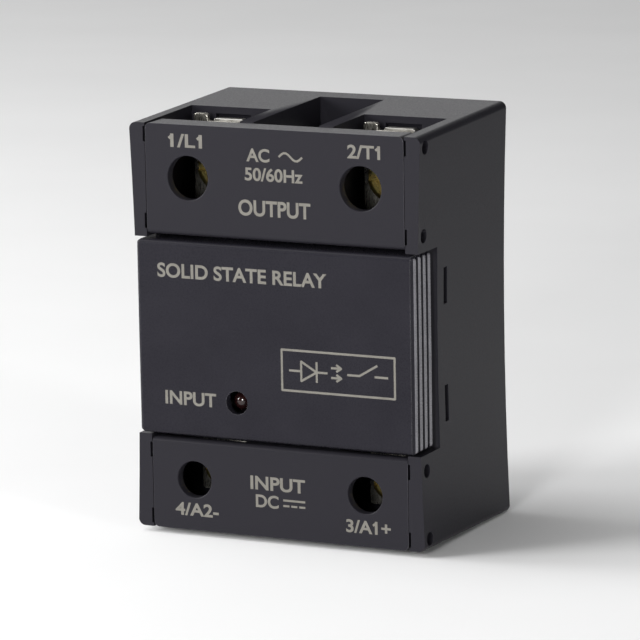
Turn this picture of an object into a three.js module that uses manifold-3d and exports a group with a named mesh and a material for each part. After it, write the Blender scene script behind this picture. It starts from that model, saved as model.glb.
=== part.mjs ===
// Solid state relay: a moulded case on a metal heat-sink plate, a clip-on front cap, a hinged cover
// over each pair of screw terminals, and the switching circuit inside.
//
// Millimetres, +Z up. X runs across the relay, Y from its front to its heat-sink face, and Z along
// its length, with the output terminals at the top. The origin is the middle of the lower end.
import * as THREE from "three";
import { mergeVertices } from "three/addons/utils/BufferGeometryUtils.js";
import Module from "manifold-3d";

const wasm = await Module();
wasm.setup();

// ---------------------------------------------------------------- driving dimensions

// Envelope. Depths are measured from the case's front rims towards the heat-sink face.
const WIDTH = 45;
const LENGTH = 60.2; // at the rear rim
const DEPTH = 30.3; // front rims to heat-sink face
const END_DRAFT = 0.85; // each end leans in by this much at the front
const WAIST = 0.6; // each side bows in by this much at mid length
const CORNER_ROUND = 1;
const GAP = 0.3; // clearance between neighbouring pieces
const OVERCUT = 1; // how far a cutting tool runs on past a face
const SUNK = 0.5; // how far a joined piece starts inside its neighbour

// Case walls.
const SIDE_WALL = 2.4; // beside the terminal covers
const WALL = 1.6;
const END_WALL = 2.2; // behind the terminal pockets
const DIVIDER = 2.2; // between a terminal pocket and the mounting notch
const FLOOR = 1.8; // under the terminal pockets and the mounting notches

// Mounting: one M4 screw in a notch at each end, 47.6 mm apart.
const MOUNTING_INSET = 6.3; // from each end of the rear rim to its screw
const MOUNTING_HOLE = 4.5;
const NOTCH_WIDTH = 10.2;
const NOTCH_DEPTH = 26.2;

// Heat-sink plate.
const PLATE_THICKNESS = 2;
const PLATE_PROUD = 0.3;
const PLATE_RIM = 1; // case wall left around the plate at the waist
const PLATE_ROUND = 1;

// Front cap.
const CAP_PROUD = 0.8;
const CAP_PLATE = 1.5;
const CAP_END_WALL = 1.3;
const CAP_END_WALL_DEPTH = 4.2;
const RIB_INSET = 0.25; // grip ribs stand this far inside the case's sides at the waist
const SKIRT = 1;
const SKIRT_DEPTH = 5.4;
const RIB_RADIUS = 0.6;
const RIB_PITCH = 1.6;
const RIB_COUNT = 4;
const RIB_END_INSET = 0.1;
const RECESS_DEPTH = 6.5; // case side set back for the cap's skirt
const ISLAND_WALL = 1.3; // case wall inside that recess
const EDGE_FILLET = 0.7;

// Snap windows in the case sides, and the cap's legs that hook into them.
const WINDOW_LENGTH = 5.2;
const WINDOW_WIDTH = 1.2;
const WINDOW_DEPTH = 9.25;
const WINDOW_INSET = 5.6; // middle of a window, from the cap's end
const LEG_LENGTH = 4.2;
const LEG_THICKNESS = 0.9;
const HOOK_REACH = 1.3;
const HOOK_HEIGHT = 0.7; // from its catch face to its tip

// Terminal covers.
const COVER_GAP = 0.7; // between a cover and the cap
const COVER_SIDE_GAP = 0.35; // between a cover and the case's side walls
const COVER_PLATE = 1.5;
const COVER_SIDE = 1.2;
const COVER_FLANGE = 1.3;
const COVER_FLANGE_DEPTH = 4.05;
const COVER_SIDE_DEPTH = 3.7;
const COVER_ROUND = 0.8;
const BAY_DEPTH = 4.5; // room behind a cover for its hinged end to turn in
const PIVOT_INSET = 1.9; // from the cover's inner edge
const PIVOT_DEPTH = 1.8;
const PEG_RADIUS = 0.8;
const PEG_HOLE = 1; // radius
const PIVOT_PEG = 1.7; // length
const DETENT_PEG = 0.9; // length
const DETENT_INSET = 1.6; // from the cover's outer edge
const GROOVE = 0.9; // depth of the lead-in groove of each peg hole
const GROOVE_EASE = 0.1; // wider than the hole, each side

// Terminals.
const TERMINAL_INSET = 6.7; // from the case's side wall to the screws
const OUTPUT = {
  name: "output",
  outward: 1, // the end lies towards +Z
  numbers: { "-1": 1, 1: 2 }, // terminal number on the left and on the right
  coverLength: 15.9,
  screwInset: 7.6, // from the cover's outer edge
  driverHole: 6.3,
  pocketDepth: 14.7,
  pocketInset: 2.75, // pocket's inner end, from the cover's inner edge
  thread: 4,
  headDiameter: 7,
  headHeight: 2.4,
  screwLength: 10,
  nutWidth: 7,
  nutHeight: 2.2,
  clampWidth: 10,
  clampInner: 5.2, // clamp plate's reach from the screw, inwards
  clampOuter: 6.3, // and outwards
  clampThickness: 1,
  stripWidth: 8,
  stripThickness: 1.2,
};
const INPUT = {
  name: "input",
  outward: -1,
  numbers: { "-1": 4, 1: 3 },
  coverLength: 13.2,
  screwInset: 7.4,
  driverHole: 5.3,
  pocketDepth: 12.5,
  pocketInset: 0.65,
  thread: 3,
  headDiameter: 5.5,
  headHeight: 1.9,
  screwLength: 8,
  nutWidth: 5.5,
  nutHeight: 1.8,
  clampWidth: 8,
  clampInner: 3.8,
  clampOuter: 3.8,
  clampThickness: 0.8,
  stripWidth: 7,
  stripThickness: 0.8,
};
// Screw heads: widths as shares of the head's diameter or radius, depths as shares of its height.
const HEAD = {
  flat: 0.55,
  shoulder: 0.85,
  shoulderDepth: 0.12,
  crownDepth: 0.43,
  slotWidth: 0.16,
  slotDepth: 0.45,
  crossDepth: 0.6,
};
const SCREW_CHAMFER = 0.5;
const LUG_WIDTH = 2.2; // anti-turn lug on the output clamp plates
const LUG_RISE = 1.05;
const LUG_ROOT = 2; // how far the lug runs back along the clamp plate
const STAMPED_ROUND = 0.5; // corners of stamped plates
const STRIP_CHAMFER = 1.85;
const STRIP_RISE = 0.25; // the output strips end this far beyond their clamps
const CHANNEL_WIDTH = 5.6; // recess behind the end of each output strip
const CHANNEL_RISE = 0.45;
const CHANNEL_DEPTH = 1;
const LEG_WIDTH = 5; // output strip's leg and foot
const TAIL_WIDTH = 3; // input strip's tail
const TAIL_LAP = 2; // tail over the circuit board

// Circuit.
const BOARD = { thickness: 1.6, depth: 13, round: 0.8 };
const BOARD_CLEARANCE = 0.65; // board edge to case
const SUBSTRATE = { width: 34, length: 27, thickness: 1 };
const DIE = { size: 8, thickness: 1.2, x: 9.5, inset: 9 }; // inset from the substrate's low end
// A strap lies this far in from the terminal screws' line and from the thyristor's edge.
const STRAP = { width: 5, thickness: 0.6, inset: 1.5, edge: 1 };
const GATE = { size: 0.8, inset: 2.6 }; // gate pin, set in from the middle of its thyristor
const FOOT_LENGTH = 5; // output terminal's foot, from its leg
const FOOT_LAP = 2.5; // foot over the substrate
const STRAP_LAP = 2; // strap over the foot
const PIN = 0.6; // width of a component pin
const PIN_CLEARANCE = 0.3;
const PIN_PAST_BOARD = 1;
const POTTING_AIR = 1.6; // between the pins and the potting

// Places of the components on the board: across from its middle, and either up from its low edge or
// down from the top of the opening behind the cap.
const PLACES = {
  optocoupler: { across: 0, up: 12.4 },
  current_limiter: { across: 4.5, up: 4.8 },
  snubber_capacitor: { across: 10.8, down: 2.8 },
  snubber_resistor: { across: 10.6, down: 7.3 },
  input_diode: { across: 11.2, down: 11.5 },
  varistor: { across: -9, down: 2.3 },
  input_resistor: { across: -9.5, down: 8.1 },
};
const OPTOCOUPLER = { width: 6.5, length: 8.6, height: 3.8, pinDrop: 1.7, pinPitch: 2.54, rowPitch: 7.62 };
const PIN_ONE_MARK = { radius: 0.6, depth: 0.3, inset: 1.2 };
const CAPACITOR = { width: 12.5, thickness: 5, height: 8, pinPitch: 10 };
const SNUBBER_RESISTOR = { radius: 1.5, length: 7.5, pinPitch: 11 };
const INPUT_RESISTOR = { radius: 1.2, length: 6.3, pinPitch: 9.5 };
const DIODE = { radius: 1.2, length: 4.6, pinPitch: 8 };
const VARISTOR = { radius: 4.6, thickness: 3.8, pinPitch: 5 };
const TRANSISTOR = { radius: 2.35, flat: 1.4, height: 4.5, standOff: 2, pinPitch: 1.27, pin: 0.5 };
const LED = {
  x: -6,
  fromCapEdge: 5.4,
  hole: 3.4,
  lens: 2.8,
  flange: 3.6,
  flangeHeight: 1,
  length: 5,
  behindFace: 0.1, // tip of its lens, behind the case's front rims
  pinPitch: 2.54,
  pin: 0.5,
};

// ---------------------------------------------------------------- derived positions

const CASE_DEPTH = DEPTH - PLATE_PROUD;
const MIDDLE = LENGTH / 2;
const FRONT_LOW = END_DRAFT;
const FRONT_HIGH = LENGTH - END_DRAFT;
for (const end of [OUTPUT, INPUT]) {
  end.outerEdge = end.outward > 0 ? FRONT_HIGH : FRONT_LOW;
  end.innerEdge = end.outerEdge - end.outward * end.coverLength;
  end.screwAt = end.coverLength - end.screwInset;
  end.detentAt = end.coverLength - DETENT_INSET;
  end.mountingAt = end.outward > 0 ? LENGTH - MOUNTING_INSET : MOUNTING_INSET;
  end.stripBack = end.pocketDepth - GAP;
  end.stripFront = end.stripBack - end.stripThickness;
  end.clampBack = end.stripFront - GAP;
  end.clampFront = end.clampBack - end.clampThickness;
  end.headBack = end.clampFront - GAP;
  end.headFront = end.headBack - end.headHeight;
}
const CAP_LOW = INPUT.innerEdge + COVER_GAP;
const CAP_HIGH = OUTPUT.innerEdge - COVER_GAP;
const CAP_MIDDLE = (CAP_LOW + CAP_HIGH) / 2;
const OPENING_LOW = CAP_LOW + CAP_END_WALL + GAP + WALL; // opening in the case behind the cap
const OPENING_HIGH = CAP_HIGH - CAP_END_WALL - GAP - WALL;
const WINDOW_PLACES = [CAP_LOW + WINDOW_INSET, CAP_HIGH - WINDOW_INSET];

const BAY_X = WIDTH / 2 - SIDE_WALL; // inner face of the side walls beside the covers
const COVER_X = BAY_X - COVER_SIDE_GAP;
const TERMINAL_X = BAY_X - TERMINAL_INSET;
const NOTCH_X = NOTCH_WIDTH / 2;
const POCKET_X = NOTCH_X + DIVIDER;
const SKIRT_OUT = WIDTH / 2 - WAIST - RIB_INSET - RIB_RADIUS;
const SKIRT_IN = SKIRT_OUT - SKIRT;
const ISLAND_X = SKIRT_IN - GAP; // case side under the skirt
const CAVITY_X = ISLAND_X - ISLAND_WALL;
const LEG_OUT = CAVITY_X - GAP;
const REAR_CAVITY_X = WIDTH / 2 - WAIST - WALL - GAP;
const PLATE_BACK = DEPTH;
const PLATE_FRONT = DEPTH - PLATE_THICKNESS;
const SEAT = PLATE_FRONT - GAP; // ledge in the case that the plate lies against
const PLATE_X = WIDTH / 2 - WAIST - PLATE_RIM - GAP;
const PLATE_LOW = PLATE_RIM + GAP;
const PLATE_HIGH = LENGTH - PLATE_LOW;
const CORE_LOW = INPUT.innerEdge - INPUT.pocketInset + WALL; // middle cavity of the case
const CORE_HIGH = OUTPUT.innerEdge + OUTPUT.pocketInset - WALL;
const BOARD_BACK = BOARD.depth + BOARD.thickness;
const BOARD_LOW = CORE_LOW + BOARD_CLEARANCE;
const BOARD_HIGH = CORE_HIGH - BOARD_CLEARANCE;
const SUBSTRATE_BACK = PLATE_FRONT - GAP;
const SUBSTRATE_FRONT = SUBSTRATE_BACK - SUBSTRATE.thickness;
const FOOT_LOW = OUTPUT.innerEdge + OUTPUT.pocketInset + GAP - FOOT_LENGTH;
const SUBSTRATE_HIGH = FOOT_LOW + FOOT_LAP;
const SUBSTRATE_LOW = SUBSTRATE_HIGH - SUBSTRATE.length;
const DIE_Z = SUBSTRATE_LOW + DIE.inset;
const DIE_BACK = SUBSTRATE_FRONT - GAP;
const DIE_FRONT = DIE_BACK - DIE.thickness;
const STRAP_BACK = DIE_FRONT - GAP;
const STRAP_FRONT = STRAP_BACK - STRAP.thickness;
const STRAP_X = TERMINAL_X - STRAP.inset;
const GATE_X = DIE.x - GATE.inset;

// ---------------------------------------------------------------- solids

const X_AXIS = new THREE.Vector3(1, 0, 0);
const Y_AXIS = new THREE.Vector3(0, 1, 0);
const Z_AXIS = new THREE.Vector3(0, 0, 1);

// A closed geometry as a manifold-3d solid.
function solid(geometry) {
  const bare = geometry.clone();
  bare.deleteAttribute("normal");
  bare.deleteAttribute("uv");
  const merged = mergeVertices(bare, 1e-4);
  return new wasm.Manifold(
    new wasm.Mesh({
      numProp: 3,
      vertProperties: merged.attributes.position.array,
      triVerts: new Uint32Array(merged.index.array),
    }),
  );
}

function joined(first, ...others) {
  return others.reduce((body, other) => body.add(other), first);
}

function cut(body, ...tools) {
  return tools.reduce((rest, tool) => rest.subtract(tool), body);
}

// A block between two values on each axis, given in either order.
function block(x, y, z) {
  const low = [x, y, z].map((span) => Math.min(...span));
  const high = [x, y, z].map((span) => Math.max(...span));
  const size = high.map((value, i) => value - low[i]);
  const centre = high.map((value, i) => (value + low[i]) / 2);
  return solid(new THREE.BoxGeometry(...size).translate(...centre));
}

// A shape extruded along an axis. It is drawn in (Y, Z) for X, (X, Z) for Y and (X, Y) for Z.
function prismGeometry(shape, axis, from, to, curveSegments = 6) {
  const depth = to - from;
  const geometry = new THREE.ExtrudeGeometry(shape, { depth, bevelEnabled: false, curveSegments });
  const turn = new THREE.Matrix4();
  if (axis === "X") turn.makeBasis(Y_AXIS, Z_AXIS, X_AXIS).setPosition(from, 0, 0);
  if (axis === "Y") turn.makeBasis(X_AXIS, Z_AXIS, Y_AXIS.clone().negate()).setPosition(0, to, 0);
  if (axis === "Z") turn.makeTranslation(0, 0, from);
  return geometry.applyMatrix4(turn);
}

function prism(shape, axis, from, to, curveSegments) {
  return solid(prismGeometry(shape, axis, from, to, curveSegments));
}

// A round bar along an axis, centred at (u, v) of the plane square to it.
function rod(axis, radius, from, to, [u, v] = [0, 0], sides = 20) {
  const circle = new THREE.Shape().absarc(u, v, radius, 0, Math.PI * 2);
  return prism(circle, axis, from, to, sides);
}

function polygon(points) {
  return new THREE.Shape(points.map(([u, v]) => new THREE.Vector2(u, v)));
}

// A rectangle with its own radius at each corner: low-low, high-low, high-high, low-high.
function roundedRectangle(u, v, radii) {
  const [u0, u1] = u;
  const [v0, v1] = v;
  const [a, b, c, d] = radii;
  const shape = new THREE.Shape().moveTo(u0 + a, v0).lineTo(u1 - b, v0);
  if (b) shape.absarc(u1 - b, v0 + b, b, -Math.PI / 2, 0);
  shape.lineTo(u1, v1 - c);
  if (c) shape.absarc(u1 - c, v1 - c, c, 0, Math.PI / 2);
  shape.lineTo(u0 + d, v1);
  if (d) shape.absarc(u0 + d, v1 - d, d, Math.PI / 2, Math.PI);
  shape.lineTo(u0, v0 + a);
  if (a) shape.absarc(u0 + a, v0 + a, a, Math.PI, Math.PI * 1.5);
  return shape;
}

// A solid turned about the Y axis from a profile of (radius, y) points.
function turned(points, sides = 20) {
  const profile = points.map(([radius, y]) => new THREE.Vector2(radius, y));
  return solid(new THREE.LatheGeometry(profile, sides));
}

// The same solid on the left and on the right.
function bothSides(make) {
  return joined(make(-1), make(1));
}

function spanX(side, from, to) {
  return [side * from, side * to];
}

// Distances along an end are measured outwards from its cover's inner edge.
function along(end, distance) {
  return end.innerEdge + end.outward * distance;
}

function spanAlong(end, from, to) {
  return [along(end, from), along(end, to)];
}

// ---------------------------------------------------------------- case

// The relay's outline seen from the front: rounded corners, and sides that bow in.
function outline(halfWidth, low, high, waist, round) {
  const middle = (low + high) / 2;
  return new THREE.Shape()
    .moveTo(-halfWidth + round, low)
    .lineTo(halfWidth - round, low)
    .absarc(halfWidth - round, low + round, round, -Math.PI / 2, 0)
    .quadraticCurveTo(halfWidth - 2 * waist, middle, halfWidth, high - round)
    .absarc(halfWidth - round, high - round, round, 0, Math.PI / 2)
    .lineTo(-halfWidth + round, high)
    .absarc(-halfWidth + round, high - round, round, Math.PI / 2, Math.PI)
    .quadraticCurveTo(-halfWidth + 2 * waist, middle, -halfWidth, low + round)
    .absarc(-halfWidth + round, low + round, round, Math.PI, Math.PI * 1.5);
}

// The solid block that the case is cut from, with its ends leaning in towards the front.
function caseBlank() {
  const shape = outline(WIDTH / 2, 0, LENGTH, WAIST, CORNER_ROUND);
  const geometry = prismGeometry(shape, "Y", 0, CASE_DEPTH, 8);
  const at = geometry.getAttribute("position");
  for (let i = 0; i < at.count; i++) {
    const lean = END_DRAFT * (1 - at.getY(i) / CASE_DEPTH);
    const scale = 1 - lean / (LENGTH / 2);
    at.setZ(i, MIDDLE + (at.getZ(i) - MIDDLE) * scale);
  }
  return solid(geometry);
}

// Everything cut away at one end: cover bay, terminal pockets, notch, peg holes and grooves.
function endCuts(end) {
  const past = end.coverLength + END_DRAFT + OVERCUT;
  const bayStart = -COVER_GAP - CAP_END_WALL - GAP;
  const bay = block([-BAY_X, BAY_X], [-OVERCUT, BAY_DEPTH], spanAlong(end, bayStart, past));
  const screwZ = end.mountingAt;
  const endZ = end.outward > 0 ? LENGTH + OVERCUT : -OVERCUT;
  const notch = joined(
    block([-NOTCH_X, NOTCH_X], [0, NOTCH_DEPTH], [screwZ, endZ]),
    rod("Y", NOTCH_X, 0, NOTCH_DEPTH, [0, screwZ], 24),
  );
  const screwHole = rod("Y", MOUNTING_HOLE / 2 + GAP / 2, 0, DEPTH, [0, screwZ], 20);
  const pockets = [-1, 1].flatMap((side) => pocketCuts(end, side, past));
  const pegs = [-1, 1].flatMap((side) => pegCuts(end, side));
  return [bay, notch, screwHole, ...pockets, ...pegs];
}

function pocketCuts(end, side, past) {
  const screwZ = along(end, end.screwAt);
  const x = side * TERMINAL_X;
  const halfNut = end.nutWidth / 2 + GAP;
  const throughFloor = [end.pocketDepth - OVERCUT, end.pocketDepth + FLOOR + OVERCUT];
  const pocket = block(
    spanX(side, POCKET_X, BAY_X),
    [0, end.pocketDepth],
    spanAlong(end, end.pocketInset, past),
  );
  const nutHole = block(
    [x - halfNut, x + halfNut],
    throughFloor,
    [screwZ - halfNut, screwZ + halfNut],
  );
  if (end === INPUT) {
    const halfTail = TAIL_WIDTH / 2 + GAP;
    const tailSlot = block(
      [x - halfTail, x + halfTail],
      [end.stripFront - GAP, end.stripBack + GAP],
      [CORE_LOW + OVERCUT, along(end, end.pocketInset + OVERCUT)],
    );
    return [pocket, nutHole, tailSlot];
  }
  const halfLeg = LEG_WIDTH / 2 + GAP;
  const legSlot = block(
    [x - halfLeg, x + halfLeg],
    throughFloor,
    spanAlong(end, end.pocketInset, end.pocketInset + end.stripThickness + 3 * GAP),
  );
  const clampEnd = end.screwAt + end.clampOuter;
  const channel = block(
    [x - CHANNEL_WIDTH / 2, x + CHANNEL_WIDTH / 2],
    [end.pocketDepth - OVERCUT, end.pocketDepth + CHANNEL_DEPTH],
    spanAlong(end, end.screwAt, clampEnd + STRIP_RISE + CHANNEL_RISE),
  );
  return [pocket, nutHole, legSlot, channel];
}

function pegCuts(end, side) {
  return [PIVOT_INSET, end.detentAt].flatMap((distance) => {
    const z = along(end, distance);
    const hole = rod("X", PEG_HOLE, BAY_X - OVERCUT, WIDTH / 2 + OVERCUT, [PIVOT_DEPTH, z], 16);
    const lead = PEG_HOLE + GROOVE_EASE;
    const groove = block(
      spanX(side, BAY_X - OVERCUT, BAY_X + GROOVE),
      [-OVERCUT, PIVOT_DEPTH],
      [z - lead, z + lead],
    );
    return [side > 0 ? hole : hole.mirror([1, 0, 0]), groove];
  });
}

// The case's sides and front between the two covers, where the cap fits over it.
function capSeatCuts() {
  const windows = [-1, 1].flatMap((side) =>
    WINDOW_PLACES.map((z) => {
      return block(
        spanX(side, CAVITY_X - OVERCUT, WIDTH / 2 + OVERCUT),
        [WINDOW_DEPTH - WINDOW_WIDTH / 2, WINDOW_DEPTH + WINDOW_WIDTH / 2],
        [z - WINDOW_LENGTH / 2, z + WINDOW_LENGTH / 2],
      );
    }),
  );
  const recesses = [-1, 1].map((side) =>
    block(
      spanX(side, ISLAND_X, WIDTH / 2 + OVERCUT),
      [-OVERCUT, RECESS_DEPTH],
      [CAP_LOW - GAP, CAP_HIGH + GAP],
    ),
  );
  const plateRoom = block(
    [-WIDTH, WIDTH],
    [-OVERCUT, CAP_PLATE - CAP_PROUD + GAP],
    [CAP_LOW - GAP, CAP_HIGH + GAP],
  );
  const endWallRooms = [
    [CAP_LOW - GAP, CAP_LOW + CAP_END_WALL + GAP],
    [CAP_HIGH - CAP_END_WALL - GAP, CAP_HIGH + GAP],
  ].map((span) => block([-WIDTH, WIDTH], [-OVERCUT, CAP_END_WALL_DEPTH + GAP], span));
  return [...windows, ...recesses, plateRoom, ...endWallRooms];
}

function cavityCuts() {
  const opening = block([-CAVITY_X, CAVITY_X], [0, SEAT], [OPENING_LOW, OPENING_HIGH]);
  const core = block([-CAVITY_X, CAVITY_X], [BAY_DEPTH + FLOOR, SEAT + OVERCUT], [CORE_LOW, CORE_HIGH]);
  const rear = [OUTPUT, INPUT].map((end) => {
    const endZ = end.outward > 0 ? LENGTH - END_WALL : END_WALL;
    const room = block(
      [-REAR_CAVITY_X, REAR_CAVITY_X],
      [end.pocketDepth + FLOOR, SEAT + OVERCUT],
      [MIDDLE, endZ],
    );
    return cut(room, notchWall(end));
  });
  const plateRecess = block(
    [-PLATE_X - GAP, PLATE_X + GAP],
    [SEAT, DEPTH + OVERCUT],
    [PLATE_LOW - GAP, PLATE_HIGH + GAP],
  );
  return [opening, core, ...rear, plateRecess];
}

// The wall around a mounting notch, left standing in the rear cavity.
function notchWall(end) {
  const screwZ = end.mountingAt;
  const endZ = end.outward > 0 ? LENGTH : 0;
  const depth = [0, SEAT + OVERCUT];
  const reach = NOTCH_X + WALL;
  return joined(
    block([-reach, reach], depth, [screwZ, endZ]),
    rod("Y", reach, ...depth, [0, screwZ], 24),
  );
}

// The lower mounting hole is a slot that runs out through the end.
function mountingSlot(width) {
  const depth = [NOTCH_DEPTH - OVERCUT, DEPTH + OVERCUT];
  return block([-width / 2, width / 2], depth, [-OVERCUT, INPUT.mountingAt]);
}

function makeCase() {
  return cut(
    caseBlank(),
    ...endCuts(OUTPUT),
    ...endCuts(INPUT),
    ...capSeatCuts(),
    ...cavityCuts(),
    mountingSlot(MOUNTING_HOLE + GAP),
  );
}

// ---------------------------------------------------------------- heat-sink plate

function makePlate() {
  const holes = [OUTPUT, INPUT].map((end) =>
    rod("Y", MOUNTING_HOLE / 2, 0, DEPTH + OVERCUT, [0, end.mountingAt], 24),
  );
  const corners = Array(4).fill(PLATE_ROUND);
  const shape = roundedRectangle([-PLATE_X, PLATE_X], [PLATE_LOW, PLATE_HIGH], corners);
  return cut(
    prism(shape, "Y", PLATE_FRONT, PLATE_BACK),
    ...holes,
    mountingSlot(MOUNTING_HOLE),
  );
}

// ---------------------------------------------------------------- front cap

function makeCap() {
  const front = -CAP_PROUD;
  const plateBack = front + CAP_PLATE;
  const round = [EDGE_FILLET, 0, 0, EDGE_FILLET];
  const profile = roundedRectangle([front, CAP_END_WALL_DEPTH], [CAP_LOW, CAP_HIGH], round);
  const shell = prism(profile, "X", -SKIRT_OUT, SKIRT_OUT);
  const hollow = block(
    [-SKIRT_IN, SKIRT_IN],
    [plateBack, SKIRT_DEPTH + OVERCUT],
    [CAP_LOW + CAP_END_WALL, CAP_HIGH - CAP_END_WALL],
  );
  const skirtProfile = roundedRectangle([front, SKIRT_DEPTH], [CAP_LOW, CAP_HIGH], round);
  const skirts = bothSides((side) => {
    const [low, high] = spanX(side, SKIRT_IN, SKIRT_OUT).sort((a, b) => a - b);
    return prism(skirtProfile, "X", low, high);
  });
  const ribs = [-1, 1].flatMap((side) =>
    Array.from({ length: RIB_COUNT }, (_, i) => gripRib(side, i * RIB_PITCH)),
  );
  const legs = [-1, 1].flatMap((side) => WINDOW_PLACES.map((z) => snapLeg(side, z, plateBack)));
  const ledZ = CAP_LOW + LED.fromCapEdge;
  const ledHole = rod("Y", LED.hole / 2, front - OVERCUT, plateBack + OVERCUT, [LED.x, ledZ], 24);
  return cut(joined(cut(shell, hollow), skirts, ...ribs, ...legs), ledHole);
}

// A half-round rib down the skirt, with domed ends.
function gripRib(side, depth) {
  const length = CAP_HIGH - CAP_LOW - 2 * (RIB_RADIUS + RIB_END_INSET);
  const geometry = new THREE.CapsuleGeometry(RIB_RADIUS, length, 3, 12).rotateX(Math.PI / 2);
  return solid(geometry.translate(side * SKIRT_OUT, depth, CAP_MIDDLE));
}

// A leg behind the cap's plate whose hook catches in a snap window of the case.
function snapLeg(side, z, from) {
  const catchFace = WINDOW_DEPTH - WINDOW_WIDTH / 2 + GAP;
  const tip = catchFace + HOOK_HEIGHT;
  const leg = [
    [LEG_OUT - LEG_THICKNESS, from - SUNK],
    [LEG_OUT, from - SUNK],
    [LEG_OUT, catchFace],
    [LEG_OUT + HOOK_REACH, catchFace],
    [LEG_OUT, tip],
    [LEG_OUT - LEG_THICKNESS, tip],
  ];
  const body = prism(polygon(leg), "Z", z - LEG_LENGTH / 2, z + LEG_LENGTH / 2);
  return side > 0 ? body : body.mirror([1, 0, 0]);
}

// ---------------------------------------------------------------- terminal covers

// A cover is built about its pivot, with its outer edge towards +Z; the input one is turned over.
function makeCover(end) {
  const front = -PIVOT_DEPTH;
  const inner = -PIVOT_INSET;
  const outer = end.coverLength - PIVOT_INSET;
  const face = [-COVER_X, COVER_X];
  const plateBack = front + COVER_PLATE;
  const plateProfile = roundedRectangle(
    [front, plateBack],
    [inner, outer],
    [EDGE_FILLET, 0, 0, EDGE_FILLET / 2],
  );
  const corners = roundedRectangle(face, [inner - OVERCUT, outer], [0, 0, COVER_ROUND, COVER_ROUND]);
  const flangeBack = front + COVER_FLANGE_DEPTH;
  const flange = block(face, [plateBack - SUNK, flangeBack], [outer - COVER_FLANGE, outer]);
  const plate = joined(prism(plateProfile, "X", ...face), flange);
  const trimmed = plate.intersect(prism(corners, "Y", front - OVERCUT, flangeBack + OVERCUT));
  const sides = bothSides((side) => coverSide(side, outer));
  const pegs = bothSides((side) =>
    joined(
      coverPeg(side, 0, PIVOT_PEG),
      coverPeg(side, end.detentAt - PIVOT_INSET, DETENT_PEG),
    ),
  );
  const driverHoles = [-1, 1].map((side) =>
    rod(
      "Y",
      end.driverHole / 2,
      front - OVERCUT,
      plateBack + OVERCUT,
      [side * TERMINAL_X, end.screwAt - PIVOT_INSET],
      28,
    ),
  );
  return cut(joined(trimmed, sides, pegs), ...driverHoles);
}

// The side rib that carries the pegs, round about the pivot so that it can turn.
function coverSide(side, outer) {
  const back = COVER_SIDE_DEPTH - PIVOT_DEPTH;
  const front = -PIVOT_DEPTH + EDGE_FILLET;
  const turn = Math.min(back, PIVOT_INSET);
  const profile = new THREE.Shape()
    .moveTo(front, 0)
    .lineTo(-turn * Math.cos(Math.PI / 4), -turn * Math.sin(Math.PI / 4))
    .absarc(0, 0, turn, Math.PI * 1.25, Math.PI * 2)
    .lineTo(back, outer - COVER_FLANGE / 2)
    .lineTo(front, outer - COVER_FLANGE / 2);
  const [low, high] = spanX(side, COVER_X - COVER_SIDE, COVER_X).sort((a, b) => a - b);
  return prism(profile, "X", low, high, 8);
}

function coverPeg(side, z, length) {
  const [low, high] = spanX(side, COVER_X - COVER_SIDE / 2, COVER_X + length).sort((a, b) => a - b);
  return rod("X", PEG_RADIUS, low, high, [0, z], 12);
}

// ---------------------------------------------------------------- terminals
// Each piece is built about its screw's axis, with the end of the relay towards +Z.

function makeClamp(end) {
  const half = end.clampWidth / 2;
  const outer = end.clampOuter;
  const corners = Array(4).fill(STAMPED_ROUND);
  const plate = roundedRectangle([-half, half], [-end.clampInner, outer], corners);
  const hole = rod("Y", end.thread / 2 + GAP, -OVERCUT, end.clampThickness + OVERCUT);
  const body = cut(prism(plate, "Y", 0, end.clampThickness, 3), hole);
  if (end === INPUT) return body;
  const lug = roundedRectangle(
    [-half, -half + LUG_WIDTH],
    [outer - LUG_ROOT, outer + LUG_RISE],
    [0, 0, STAMPED_ROUND, STAMPED_ROUND],
  );
  return joined(body, prism(lug, "Y", 0, end.clampThickness, 3));
}

// A pan-head screw, head towards -Y, with a cross recess and one long slot across it.
function makeScrew(end) {
  const head = end.headDiameter / 2;
  const height = end.headHeight;
  const shank = end.thread / 2 - GAP;
  const tip = height + end.screwLength;
  const profile = [
    [0, 0],
    [head * HEAD.flat, 0],
    [head * HEAD.shoulder, height * HEAD.shoulderDepth],
    [head, height * HEAD.crownDepth],
    [head, height],
    [shank, height],
    [shank, tip - SCREW_CHAMFER],
    [shank - SCREW_CHAMFER, tip],
    [0, tip],
  ];
  const half = (HEAD.slotWidth * end.headDiameter) / 2;
  const reach = head * HEAD.flat;
  const slot = block([-head, head], [-OVERCUT, height * HEAD.slotDepth], [-half, half]);
  const cross = block([-half, half], [-OVERCUT, height * HEAD.crossDepth], [-reach, reach]);
  return cut(turned(profile, 24), slot, cross);
}

function makeNut(end) {
  const half = end.nutWidth / 2;
  const bore = rod("Y", end.thread / 2, -OVERCUT, end.nutHeight + OVERCUT);
  return cut(block([-half, half], [0, end.nutHeight], [-half, half]), bore);
}

// An output terminal: strip under the clamp, leg through the pocket floor, foot over the substrate.
function makeOutputTerminal(end) {
  const half = end.stripWidth / 2;
  const inner = end.pocketInset + GAP - end.screwAt;
  const outer = end.clampOuter + STRIP_RISE;
  const thick = end.stripThickness;
  const strip = polygon([
    [-half, inner],
    [half, inner],
    [half, outer - STRIP_CHAMFER],
    [half - STRIP_CHAMFER, outer],
    [-half + STRIP_CHAMFER, outer],
    [-half, outer - STRIP_CHAMFER],
  ]);
  const hole = rod("Y", end.thread / 2 + GAP, -OVERCUT, thick + OVERCUT);
  const footBack = DIE_BACK - end.stripFront;
  const halfLeg = LEG_WIDTH / 2;
  const footEnd = FOOT_LOW - along(end, end.screwAt);
  const leg = block([-halfLeg, halfLeg], [0, footBack], [inner, inner + thick]);
  const foot = block([-halfLeg, halfLeg], [footBack - thick, footBack], [footEnd, inner + thick]);
  return joined(cut(prism(strip, "Y", 0, thick), hole), leg, foot);
}

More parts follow.
